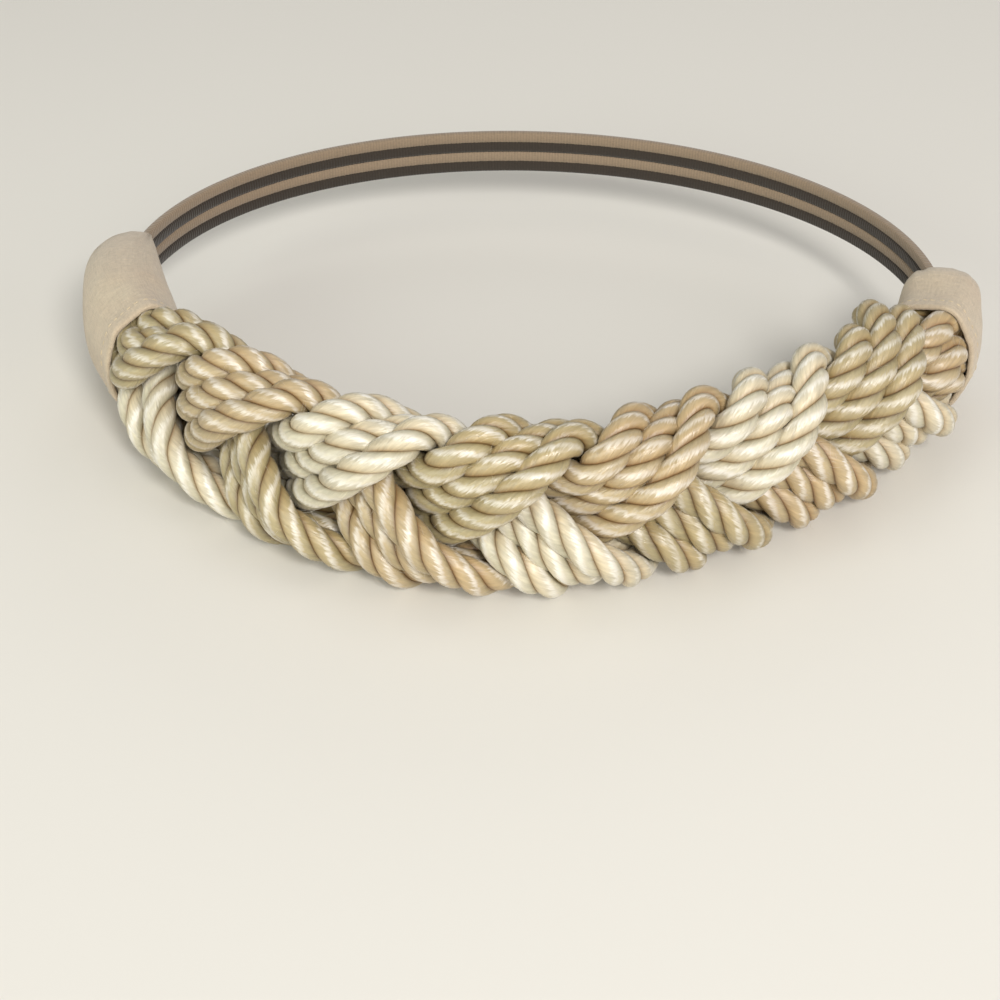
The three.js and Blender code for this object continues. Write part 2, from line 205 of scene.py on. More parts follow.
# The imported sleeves' clearance and facets, and the lengths in which the plait runs in and stops turning.
SLEEVE_GAP = 0.0004
SLEEVE_FACETS = 18
FUNNEL = 0.026
HOLD = 0.010
# The loose plait's reach in cord thicknesses, and how near two cords come, in the same.
LOOSE_UP = 2.7
LOOSE_OUT = 1.5
ROOM = 1.0
NEST = 0.84
# How the cords are drawn tight and pushed apart, round by round.
SETTLE_STEP = 0.0025
SETTLE_ROUNDS = 420
FINAL_ROUNDS = 40
PULL = 0.08
KEEP_PULL = 0.02
FLATTER_PULL = 0.6
STIFFNESS = 0.05
CONTACT_REACH = 1.2
CONTACT_SHARE = 0.5


def settled_cords(sizes, loop):
    """The nine cords drawn tight: lengths along the loop, and each cord's place outward and up."""
    thick = sizes.rope_diameter
    first, last = -sizes.plait_right - CORD_TAIL, sizes.plait_left + CORD_TAIL
    count = round((last - first) / SETTLE_STEP) + 1
    along = np.linspace(first, last, count)
    step = along[1] - along[0]
    curvature = loop.curvature(along)
    strand = np.repeat(np.arange(len(PHASES)), CORDS_PER_STRAND)
    lag = np.tile((np.arange(CORDS_PER_STRAND) - (CORDS_PER_STRAND - 1) / 2) * CORD_LAG, len(PHASES))
    held = np.clip(along, -sizes.plait_right + HOLD, sizes.plait_left - HOLD)
    start = np.radians(np.array(list(PHASES.values()))[strand] + lag)
    end = np.where(held > 0, sizes.plait_left, sizes.plait_right)
    run = end * np.interp(held / end, PLAIT_RUN["along"], PLAIT_RUN["run"])
    phase = start[:, None] + 2 * np.pi * run / sizes.plait_period
    up = LOOSE_UP * thick * np.sin(phase)
    out = -LOOSE_OUT * thick * np.sin(2 * phase)

    # The room that the sleeves leave for a cord's middle, wider where the plait runs towards them.
    into = np.where(along > 0, along - sizes.plait_left, -sizes.plait_right - along)
    sleeve = np.where(along > 0, sizes.sleeve_left_length, sizes.sleeve_right_length)
    half_up, half_out, _ = sleeve_size(sizes, np.clip(into / sleeve, 0, 1))
    spread = np.where(into > 0, 0, np.minimum(1, -into / FUNNEL) ** 2) * sizes.plait_height
    inside = sizes.sleeve_wall + SLEEVE_GAP + thick / 2
    faceted = math.cos(math.pi / SLEEVE_FACETS)
    room_up = faceted * half_up - inside + spread
    room_out = faceted * half_out - inside + spread

    def bend(values):
        padded = np.pad(values, ((0, 0), (1, 1)), mode="edge")
        return padded[:, :-2] + padded[:, 2:] - 2 * values

    def drawn(values, pull):
        once = bend(values)
        return values + pull * once - STIFFNESS * bend(once)

    a, b = np.triu_indices(len(strand), 1)
    wanted = thick * np.where(strand[a] == strand[b], NEST, ROOM)[:, None]
    to_a = np.equal.outer(np.arange(len(strand)), a).astype(float)
    to_b = np.equal.outer(np.arange(len(strand)), b).astype(float)
    reach = math.ceil(CONTACT_REACH * thick / step)

    def push_apart(up, out):
        move_up, move_out, touches = np.zeros_like(up), np.zeros_like(up), np.zeros_like(up)
        for shift in range(-reach, reach + 1):
            i = slice(max(0, -shift), min(count, count - shift))
            j = slice(max(0, shift), min(count, count + shift))
            rise = up[a, i] - up[b, j]
            apart = out[a, i] - out[b, j]
            middle = (out[a, i] + out[b, j]) / 2
            distance = np.sqrt(rise ** 2 + apart ** 2 + (shift * step * (1 + middle * curvature[i])) ** 2)
            touching = (distance < wanted) & (distance > 0)
            push = np.where(touching, wanted / np.maximum(distance, 1e-9) - 1, 0)
            move_up[:, i] += to_a @ (push * rise)
            move_up[:, j] -= to_b @ (push * rise)
            move_out[:, i] += to_a @ (push * apart)
            move_out[:, j] -= to_b @ (push * apart)
            touches[:, i] += to_a @ touching
            touches[:, j] += to_b @ touching
        part = CONTACT_SHARE / np.sqrt(np.maximum(1, touches))
        up, out = up + part * move_up, out + part * move_out
        over = np.maximum(1, np.hypot(up / room_up, out / room_out))
        return up / over, out / over

    for _ in range(SETTLE_ROUNDS):
        height = 2 * up.max() + thick
        up = drawn(up, PULL if height > sizes.plait_height else KEEP_PULL)
        out = drawn(out, PULL * FLATTER_PULL)
        up, out = push_apart(*push_apart(up, out))
    for _ in range(FINAL_ROUNDS):
        up, out = push_apart(up, out)
    lean = np.radians(LEAN) * np.clip(-into / (2 * FUNNEL), 0, 1)
    return along, out * np.cos(lean) - up * np.sin(lean), up * np.cos(lean) + out * np.sin(lean)


STEPS_BETWEEN = 8


def evenly(points, step):
    """A smooth line through points, as points at even steps along it."""
    before = np.vstack([2 * points[0] - points[1], points])[:-1]
    after = np.vstack([points, 2 * points[-1] - points[-2]])[1:]
    slope = (after - before) / 2
    t = np.linspace(0, 1, STEPS_BETWEEN, endpoint=False)[None, :, None]
    p, q, u, v = (x[:, None, :] for x in (points[:-1], points[1:], slope[:-1], slope[1:]))
    fine = ((2 * t ** 3 - 3 * t ** 2 + 1) * p + (t ** 3 - 2 * t ** 2 + t) * u
            + (3 * t ** 2 - 2 * t ** 3) * q + (t ** 3 - t ** 2) * v)
    fine = np.vstack([fine.reshape(-1, 3), points[-1:]])
    run = np.concatenate([[0], np.cumsum(np.linalg.norm(np.diff(fine, axis=0), axis=1))])
    places = np.linspace(0, run[-1], max(2, round(run[-1] / step)) + 1)
    return places, np.stack([np.interp(places, run, fine[:, k]) for k in range(3)], -1)


def unit(vectors):
    return vectors / np.linalg.norm(vectors, axis=-1, keepdims=True)


def square_to(vectors, axis):
    """The vectors with what runs along the axis taken out, at length one."""
    return unit(vectors - np.sum(vectors * axis, -1, keepdims=True) * axis)


# Meshes


class Shape:
    """Grids of points gathered into one mesh, with a flat map and a value for each point."""

    def __init__(self):
        self.points, self.faces, self.maps, self.values = [], [], [], []
        self.count = 0

    def tube(self, rings, u, v, value=None, closed=False):
        """Rings of points joined into a tube. u runs along it, v round it. An open tube is capped."""
        along, round_ = rings.shape[:2]
        i = np.arange(along if closed else along - 1)
        j = np.arange(round_)
        i, j = (x.ravel() for x in np.meshgrid(i, j, indexing="ij"))
        k, m = (i + 1) % along, (j + 1) % round_
        self.faces.extend((self.count + np.stack(
            [i * round_ + j, i * round_ + m, k * round_ + m, k * round_ + j], -1)).tolist())
        self.maps.extend(np.stack([u[i], v[j], u[i], v[j + 1], u[i + 1], v[j + 1], u[i + 1], v[j]],
                                  -1).reshape(-1, 4, 2).tolist())
        self.points.append(rings.reshape(-1, 3))
        self.values.append(np.zeros(along * round_) if value is None else value.ravel())
        self.count += along * round_
        if not closed:
            for start, turn in ((0, -1), ((along - 1) * round_, 1)):
                ring = list(range(self.count - along * round_ + start,
                                  self.count - along * round_ + start + round_))[::turn]
                self.faces.append(ring)
                self.maps.append([[0.0, 0.0]] * round_)

    def piece(self, name, slot, nodes, finish):
        """The finished object, riding on the belt in place of the named parts of the frame."""
        mesh = bpy.data.meshes.new(name)
        mesh.from_pydata(np.concatenate(self.points).tolist(), [], self.faces)
        layer = mesh.uv_layers.new(name="lay")
        layer.data.foreach_set("uv", np.array([c for face in self.maps for p in face for c in p]))
        values = mesh.attributes.new("depth", "FLOAT", "POINT")
        values.data.foreach_set("value", np.concatenate(self.values))
        mesh.validate()
        mesh.materials.append(finish)
        piece = bpy.data.objects.new(name, mesh)
        bpy.context.collection.objects.link(piece)
        select_only(piece)
        bpy.ops.object.mode_set(mode="EDIT")
        bpy.ops.mesh.select_all(action="SELECT")
        bpy.ops.mesh.normals_make_consistent(inside=False)
        bpy.ops.object.mode_set(mode="OBJECT")
        bpy.ops.object.shade_smooth()
        piece.select_set(False)
        return dressed(piece, nodes)


def select_only(piece):
    bpy.ops.object.select_all(action="DESELECT")
    piece.select_set(True)
    bpy.context.view_layer.objects.active = piece


def dressed(piece, nodes):
    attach(piece, "root")
    if nodes:
        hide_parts(*nodes)
    return piece


# Finishes


class Value:
    """A number that a material works out over the surface, for use in ordinary sums."""

    def __init__(self, finish, socket):
        self.finish, self.socket = finish, socket

    def sum(self, operation, *terms):
        node = self.finish.node("ShaderNodeMath", {"operation": operation}, dict(enumerate(terms)))
        return Value(self.finish, node.outputs[0])

    def __add__(self, other):
        return self.sum("ADD", self, other)

    def __sub__(self, other):
        return self.sum("SUBTRACT", self, other)

    def __rsub__(self, other):
        return self.sum("SUBTRACT", other, self)

    def __mul__(self, other):
        return self.sum("MULTIPLY", self, other)

    def __truediv__(self, other):
        return self.sum("DIVIDE", self, other)

    def __pow__(self, other):
        return self.sum("POWER", self, other)

    def __gt__(self, other):
        return self.sum("GREATER_THAN", self, other)

    __radd__, __rmul__ = __add__, __mul__

    def sine(self):
        return self.sum("SINE", self)

    def clamped(self):
        return self.sum("MINIMUM", self.sum("MAXIMUM", self, 0.0), 1.0)


class Finish:
    """A material being put together round one shader."""

    def __init__(self, name, **constants):
        self.material = bpy.data.materials.new(name)
        self.material.use_nodes = True
        self.nodes = self.material.node_tree.nodes
        self.links = self.material.node_tree.links
        self.shader = self.nodes["Principled BSDF"]
        for socket, value in constants.items():
            self.shader.inputs[socket.replace("_", " ")].default_value = value

    def put(self, socket, value):
        """Joins or sets one socket."""
        if isinstance(value, Value):
            value = value.socket
        if isinstance(value, bpy.types.NodeSocket):
            self.links.new(value, socket)
        elif socket.type == "RGBA" and len(value) == 3:
            socket.default_value = (*value, 1.0)
        else:
            socket.default_value = value

    def node(self, kind, settings=None, inputs=None):
        node = self.nodes.new(kind)
        for name, value in (settings or {}).items():
            setattr(node, name, value)
        for socket, value in (inputs or {}).items():
            self.put(node.inputs[socket], value)
        return node

    def mapped(self):
        """Along and round the piece, from its own flat map."""
        flat = self.node("ShaderNodeUVMap", {"uv_map": "lay"})
        parts = self.node("ShaderNodeSeparateXYZ", inputs={0: flat.outputs[0]})
        return Value(self, parts.outputs[0]), Value(self, parts.outputs[1])

    def attribute(self, name):
        return Value(self, self.node("ShaderNodeAttribute", {"attribute_name": name}).outputs["Fac"])

    def noise(self, x, y, z=0.0, detail=2.0, rough=0.5):
        """Unevenness over places that are worked out first, from 0 to 1."""
        place = self.node("ShaderNodeCombineXYZ", inputs={0: x, 1: y, 2: z})
        return Value(self, self.node("ShaderNodeTexNoise", inputs={
            "Vector": place.outputs[0], "Scale": 1.0, "Detail": detail, "Roughness": rough}).outputs[0])

    def cloudy(self, scale, detail=2.0):
        """Unevenness in the piece's own space, from 0 to 1."""
        place = self.node("ShaderNodeTexCoord")
        return Value(self, self.node("ShaderNodeTexNoise", inputs={
            "Vector": place.outputs["Object"], "Scale": scale, "Detail": detail}).outputs[0])

    def blend(self, factor, a, b, how="MIX"):
        return self.node("ShaderNodeMix", {"data_type": "RGBA", "blend_type": how},
                         {0: factor, 6: a, 7: b}).outputs[2]

    def relief(self, height, distance):
        return self.node("ShaderNodeBump", inputs={
            "Height": height, "Distance": distance, "Strength": 1.0}).outputs[0]

    def finish(self, **sockets):
        """The material, with what varies over the surface joined to the shader."""
        for socket, value in sockets.items():
            self.put(self.shader.inputs[socket.replace("_", " ")], value)
        return self.material


def scaled(rgb, by):
    return [min(1.0, c * by) for c in rgb]


# How much of a cord's own colour is mixed into the painted shade of its grooves, standing in for light that
# comes back out of them.
GROOVE_GLOW = 0.3
# The threads lie slantwise over a ply: how far along it they run from one groove to the next.
WRAP_SLANT = 0.009
# Hairs and threads in a metre of ply, and the patches in a metre of belt.
HAIRS = 2600.0
THREADS = 1000.0
PATCHES = 38.0
# Where a ply's painted highlight lies and how wide it is, and where its painted greenish shade on the side
# turned up and painted warmer shade on the side turned down begin, as shares of the way over it.
HIGHLIGHT_PLACE = 0.56
HIGHLIGHT_WIDTH = 0.16
COOL_SHADE_FROM = 0.68
WARM_SHADE_FROM = 0.48


def cord_finish(name, base, groove):
    """Silky threads wrapped across each ply, with a painted highlight in a broken line along its crest,
    painted greenish shade on the side turned up, and painted warmer shade on the side turned down and in
    its grooves.
    """
    made = Finish(name, Specular_IOR_Level=1.0, Anisotropic=0.75, Sheen_Weight=0.05, Sheen_Roughness=0.3)
    along, round_ = made.mapped()
    wrapped = along + round_ * WRAP_SLANT
    hairs = made.noise(wrapped * HAIRS, round_ * 2.6, rough=0.6) - 0.5
    threads = made.noise(wrapped * THREADS, round_ * 1.6, 4.0, detail=1.0) - 0.5
    patches = made.cloudy(PATCHES) - 0.5
    depth = made.attribute("depth")
    body = made.blend((hairs * 0.8 + threads * 1.1 + patches * 0.6 + 0.5).clamped(),
                      scaled(base, 0.6), scaled(base, 0.98))
    # A highlight is painted along the crest, its edge broken by the threads; painted shade is greenish on
    # the side turned up and warmer on the side turned down.
    across = (round_ - HIGHLIGHT_PLACE + hairs * 0.3 + threads * 0.34) / HIGHLIGHT_WIDTH
    highlight_band = (1.0 - across * across).clamped() ** 1.4
    highlight_streaks = hairs * 2.2 + threads * 1.6 + patches * 1.5 + 0.9
    lit = made.blend((highlight_band * highlight_streaks * 0.66).clamped(), body, [0.45 * c + 0.48 for c in base])
    # Painted shade: greenish on the side turned up, warmer on the side turned down.
    cool_shade_side = ((round_ - COOL_SHADE_FROM) * 3.5).clamped()
    with_cool_shade = made.blend(cool_shade_side, lit, (0.84, 0.88, 0.84), "MULTIPLY")
    warm_shade_side = ((WARM_SHADE_FROM - round_) * 2.6).clamped()
    with_warm_shade = made.blend(warm_shade_side * 0.7, with_cool_shade, (1.0, 0.88, 0.7), "MULTIPLY")
    # Painted shade in the grooves between the plies, deepest where they meet.
    with_groove_shade = made.blend((depth * depth * 0.95).clamped(), with_warm_shade, groove, "MULTIPLY")
    return made.finish(
        Base_Color=with_groove_shade,
        Roughness=(0.34 + threads * 0.12 + depth * 0.2).clamped(),
        Normal=made.relief(hairs * 0.6 + threads * 0.8, 0.0003),
    )


WEAVE_PITCH = 0.0008


def cloth_finish(name, base):
    """A dull, close-woven cloth with a soft nap."""
    made = Finish(name, Specular_IOR_Level=0.12, Sheen_Weight=0.25, Sheen_Roughness=0.6)
    along, round_ = made.mapped()
    rows = (along * (2 * math.pi / WEAVE_PITCH)).sine()
    columns = (round_ * (2 * math.pi / WEAVE_PITCH)).sine()
    slubs = made.noise(along * 1300.0, round_ * 180.0, rough=0.65) - 0.5
    crossing = made.noise(along * 180.0, round_ * 1300.0, 3.0, rough=0.65) - 0.5
    nap = made.cloudy(900.0, 3.0) - 0.5
    patches = made.cloudy(55.0, 3.0) - 0.5
    weave = rows * columns * 0.12
    tone = (weave + slubs * 0.9 + crossing * 0.9 + nap * 0.8 + 0.5).clamped()
    woven = made.blend(tone, scaled(base, 0.78), scaled(base, 1.14))
    return made.finish(
        Base_Color=made.blend((patches * 2.2 + 0.45).clamped(), woven, (1.0, 0.94, 0.91), "MULTIPLY"),
        Roughness=(0.86 + nap * 0.2).clamped(),
        Normal=made.relief(weave + slubs * 0.8 + crossing * 0.8 + nap * 0.5, 0.0003),
    )


RIB_PITCH = 0.0011
# The strap's dark bands, as shares of its height from its upper edge down.
UPPER_BAND = (0.245, 0.505)
LOWER_BAND = 0.745


def strap_finish(name, tan, brown):
    """Ribbed elastic in four bands, its fine cords crossed by close ribs."""
    made = Finish(name, Specular_IOR_Level=0.2, Sheen_Weight=0.25, Sheen_Roughness=0.5)
    along, across = made.mapped()
    edge = made.noise(along * 2200.0, across * 40.0, detail=1.0) * 0.02
    place = across + edge
    brown_upper = (place > UPPER_BAND[0]) * (1.0 - (place > UPPER_BAND[1]))
    brown_lower = place > LOWER_BAND
    ribs = (along * (2 * math.pi / RIB_PITCH)).sine() * 0.5 + 0.5
    threads = made.noise(along * 700.0, across * 60.0)
    dark = (brown_upper + brown_lower).clamped()
    lit = threads * 0.8 + ribs * 0.2
    return made.finish(
        Base_Color=made.blend(dark, made.blend(lit, scaled(tan, 0.62), scaled(tan, 1.2)),
                              made.blend(lit, scaled(brown, 0.62), scaled(brown, 1.3))),
        Roughness=0.75 + threads * 0.15,
        Normal=made.relief(ribs * 0.5 + threads * 0.5, 0.0002),
    )


def thread_finish(name, base):
    """Sewing thread, its turns just showing."""
    made = Finish(name, Roughness=0.5, Sheen_Weight=0.2)
    turns = made.cloudy(2400.0)
    return made.finish(Base_Color=made.blend(turns, scaled(base, 0.8), scaled(base, 1.1)),
                       Normal=made.relief(turns, 0.0001))


def floor_finish(name, base):
    """A plain pale floor with the faintest grain."""
    made = Finish(name, Roughness=0.85, Specular_IOR_Level=0.2)
    grain = made.cloudy(3.0)
    return made.finish(Base_Color=made.blend(grain, scaled(base, 0.99), scaled(base, 1.01)))


# Pieces

PLIES = 3
PLY_STEP = 0.0011
PLY_FACE_POINTS = 13
# How round a ply's face is, how wide its inner side is, as a share of its part of the cord, and how near
# its inner corner comes to the cord's middle, as a share of the cord's radius.
PLY_ROUNDNESS = 2.3
PLY_WALL = 0.96
CORE_RADIUS = 0.2
# How far the twist wanders, in radians, and a ply swells, as a share, each with its longest wave.
WANDER, WANDER_WAVE = 0.16, 0.083
SWELL, SWELL_WAVE = 0.03, 0.037
CORD_TURN = 1.9
# Each ply has its own stretch of the flat map, so that no two have the same threads.
MAP_STEP = 1.3
# The map's places for the hidden inner side of a ply, past the end of its face.
INNER_MAP = (1.1, 1.2, 1.3, 1.4)


def line_sides(middle, outward):
    """A line's direction at each point, and the two ways across it, the first nearest to outward."""
    axis = unit(np.gradient(middle, axis=0))
    side = square_to(outward, axis)
    return axis, side, np.cross(axis, side)


def ply_section(groove):
    """A ply's section: turns from its middle as shares of its part of the cord, and distances from the
    cord's middle as shares of its radius. The face comes first, then the side that lies inside."""
    face = np.sin(np.linspace(-np.pi / 2, np.pi / 2, PLY_FACE_POINTS))
    turn = np.concatenate([face, [PLY_WALL, 0, -PLY_WALL]])
    away = np.concatenate([1 - groove * np.abs(face) ** PLY_ROUNDNESS, [(1 - groove) / 2, CORE_RADIUS,
                                                                        (1 - groove) / 2]])
    return turn, away


def slow_waves(run, number, longest):
    """A gentle unevenness along a cord, different for each number."""
    first = np.sin(2 * np.pi * run / longest + 2.4 * number)
    return (first + 0.6 * np.sin(2 * np.pi * run / (0.43 * longest) + 4.1 * number)) / 1.6


def laid_cord(shape, line, loop_outward, sizes, number):
    """One cord: three plump plies laid round each other along its line."""
    run, middle = line
    axis, side, across = line_sides(middle, loop_outward)
    section, away = ply_section(sizes.groove_depth)
    # How near each point lies to a groove, from the ply's crest to its inner side; it sets the cord's
    # painted groove shade and its roughness.
    depth = np.where(np.arange(len(section)) < PLY_FACE_POINTS, np.abs(section) ** 3, 1)
    place = np.concatenate([(section[:PLY_FACE_POINTS] + 1) / 2, INNER_MAP])
    wander = WANDER * slow_waves(run, number, WANDER_WAVE)
    for ply in range(PLIES):
        each = number * PLIES + ply
        plump = 1 + SWELL * slow_waves(run, each, SWELL_WAVE)
        start = 2 * np.pi * (run / sizes.rope_lay + ply / PLIES) + CORD_TURN * number + wander
        angle = start[:, None] + section * np.pi / PLIES
        radius = (sizes.rope_diameter / 2 * plump[:, None] * away)[..., None]
        ring = middle[:, None] + radius * (np.cos(angle)[..., None] * side[:, None]
                                           + np.sin(angle)[..., None] * across[:, None])
        shape.tube(ring, run + MAP_STEP * each, place, np.tile(depth, (len(run), 1)))


STRAYS_PER_CORD = 170
STRAY_THICKNESS = 0.00007
STRAY_LENGTHS = (0.002, 0.005)
STRAY_POINTS = 5
STRAY_SIDES = 3
# Hairs leave the outer side of a cord, this far to each side of outward and this far from its middle.
STRAY_FAN = 0.6 * np.pi
STRAY_ROOT = 0.47
STRAY_SEED = 11


def stray_hairs(shape, line, loop_outward, sizes, chance):
    """Fine hairs that have worked loose from a cord's threads and stand off its face."""
    run, middle = line
    axis, side, across = line_sides(middle, loop_outward)
    steps = np.linspace(0, 1, STRAY_POINTS)[:, None]
    corners = 2 * np.pi * np.arange(STRAY_SIDES) / STRAY_SIDES
    for _ in range(STRAYS_PER_CORD):
        k = chance.integers(len(run))
        angle = chance.uniform(-STRAY_FAN, STRAY_FAN)
        away = math.cos(angle) * side[k] + math.sin(angle) * across[k]
        aside = np.cross(axis[k], away)
        lean = chance.normal(0, 1) * axis[k] + chance.normal(0, 0.7) * aside
        reach = chance.uniform(*STRAY_LENGTHS)
        start = middle[k] + sizes.rope_diameter * STRAY_ROOT * away
        curl = chance.uniform(-0.5, 0.2) * away + chance.normal(0, 0.3) * aside
        hair = start + reach * (steps * unit(lean + 0.45 * away) + steps * steps * curl)
        path = unit(np.gradient(hair, axis=0))
        first = square_to(np.broadcast_to(away + 0.3 * aside, path.shape), path)
        second = np.cross(path, first)
        thin = STRAY_THICKNESS / 2 * (1 - 0.6 * steps)[..., None]
        ring = hair[:, None] + thin * (np.cos(corners)[:, None] * first[:, None]
                                       + np.sin(corners)[:, None] * second[:, None])
        # Each hair takes the map place of the painted highlight, so it is coloured as that painted
        # highlight.
        shape.tube(ring, np.full(STRAY_POINTS, run[k]), np.full(STRAY_SIDES + 1, HIGHLIGHT_PLACE))


class BELT_OT_cords(bpy.types.Operator):
    """Plait the nine twisted cords and lay their plies"""

    bl_idname = "belt.cords"
    bl_label = "Lay the cords"

    def execute(self, context):
        sizes, colours = context.scene.belt_sizes, context.scene.belt_colours
        loop = Loop(sizes)
        along, out, up = settled_cords(sizes, loop)
        chance = np.random.default_rng(STRAY_SEED)
        for number, name in enumerate(PHASES):
            shape = Shape()
            for cord in range(number * CORDS_PER_STRAND, (number + 1) * CORDS_PER_STRAND):
                points = loop.belt(along, out[cord], up[cord])
                line = evenly(points, PLY_STEP)
                nearest = np.interp(line[0] / line[0][-1], np.linspace(0, 1, len(along)), along)
                laid_cord(shape, line, loop.outward(nearest), sizes, cord)
                stray_hairs(shape, line, loop.outward(nearest), sizes, chance)
            base = getattr(colours, name)
            # The grooves' painted shade is mixed with the cord's own colour as painted light that comes
            # back from groove to groove, so a pale cord's grooves are paler too.
            groove = [mix(g, b, GROOVE_GLOW) for g, b in zip(colours.groove, base)]
            shape.piece(f"cords_{name}", f"cord_{name}", [f"strand_{name}"],
                        cord_finish(f"{name}_cord", base, groove))
        return {"FINISHED"}


SLEEVE_SIDES = 96
SLEEVE_STEP = 0.0011
# The flat map's step from the last ring back to the first.
LAST_STEP = 0.001
# The cloth's gap round the cords and round the strap, and the directions in which it is held off them.
SNUG_GAP = 0.00025
SEWN_GAP = 0.0002
SNUG_LOOKS = np.radians(np.linspace(-75, 75, 31))
# The cloth leaves the cords this share of their hidden tail in from the mouth.
LOOSENS = 0.4
# The gathers near the tip: their depth, and the shares of the sleeve over which they grow and end.
GATHER_DEPTH = 0.0006
GATHER_FROM, GATHER_GROWS, GATHER_ENDS = 0.3, 0.5, 0.05
# The hem's rise over the cloth, and how softly it ends.
HEM_RISE = 0.0003
HEM_EDGE = 0.0004
# The line of stitches lies in a fine furrow, at a share of the hem's width.
FURROW_PLACE, FURROW_WIDTH = 0.85, 0.0005
STITCH_PLACE = 0.8
STITCH_PITCH = 0.0031
STITCH_LENGTH = 0.0021
STITCH_RADIUS = 0.0002
STITCH_SIDES = 6
# A stitch's thickness along it, and how far its ends dive into the cloth.
STITCH_FORM = np.array([0.35, 0.85, 1, 1, 1, 0.85, 0.35])
STITCH_DIVE, STITCH_STANDS = 1.6, 0.5


class Sleeve:
    """A cloth tube over one end of the plait; its surface in lengths from its mouth and turns round it."""

    def __init__(self, sizes, loop, side, cords):
        self.sizes, self.loop, self.side, self.cords = sizes, loop, side, cords
        self.length = sizes.sleeve_left_length if side > 0 else sizes.sleeve_right_length
        self.mouth = sizes.plait_left if side > 0 else -sizes.plait_right

    def round_cords(self, along, turn):
        """How far from the belt's line the cloth lies when it is drawn round the cords, inner face."""
        place = self.mouth + self.side * along
        line, out, up = self.cords
        reach = np.full(np.shape(place), 1.0)
        outs = np.stack([np.interp(place, line, each) for each in out])
        ups = np.stack([np.interp(place, line, each) for each in up])
        for look in SNUG_LOOKS:
            held = (outs * np.cos(turn + look) + ups * np.sin(turn + look)).max(0)
            held += self.sizes.rope_diameter / 2 + SNUG_GAP
            reach = np.minimum(reach, held / math.cos(look))
        return reach

    def surface(self, along, turn, inset=0.0):
        """Points on the outer face, or further in, at lengths from the mouth and angles round it."""
        share = along / self.length
        half_up, half_out, squareness = sleeve_size(self.sizes, share, SEWN_GAP)
        cos, sin = np.cos(turn), np.sin(turn)
        out = half_out * np.sign(cos) * np.abs(cos) ** (2 / squareness)
        up = half_up * np.sign(sin) * np.abs(sin) ** (2 / squareness)
        loose = np.hypot(out, up)
        # Drawn round the cords at the mouth, easing to its own form where they end.
        drawn = self.round_cords(along, np.arctan2(up, out)) + self.sizes.sleeve_wall
        t = np.clip((along - LOOSENS * CORD_TAIL) / CORD_TAIL, 0, 1)
        wide = mix(drawn, loose, t * t * (3 - 2 * t))
        # Soft gathers where the cloth narrows, and the fold of the hem.
        grown = np.clip((share - GATHER_FROM) / GATHER_GROWS, 0, 1)
        gather = GATHER_DEPTH * grown * np.clip((1 - share) / GATHER_ENDS, 0, 1)
        crease = 0.6 * np.sin(7 * turn + 3 + 12 * along) + 0.4 * np.sin(12 * turn + 1.3 - 9 * along)
        hem = HEM_RISE / (1 + np.exp((along - self.sizes.hem_width) / HEM_EDGE))
        furrow = np.exp(-((along - FURROW_PLACE * self.sizes.hem_width) / FURROW_WIDTH) ** 2)
        grow = gather * crease + (hem - 0.5 * HEM_RISE * furrow if inset == 0 else 0) - inset
        scale = (wide + grow) / loose
        return self.loop.belt(self.mouth + self.side * along, scale * out, scale * up)


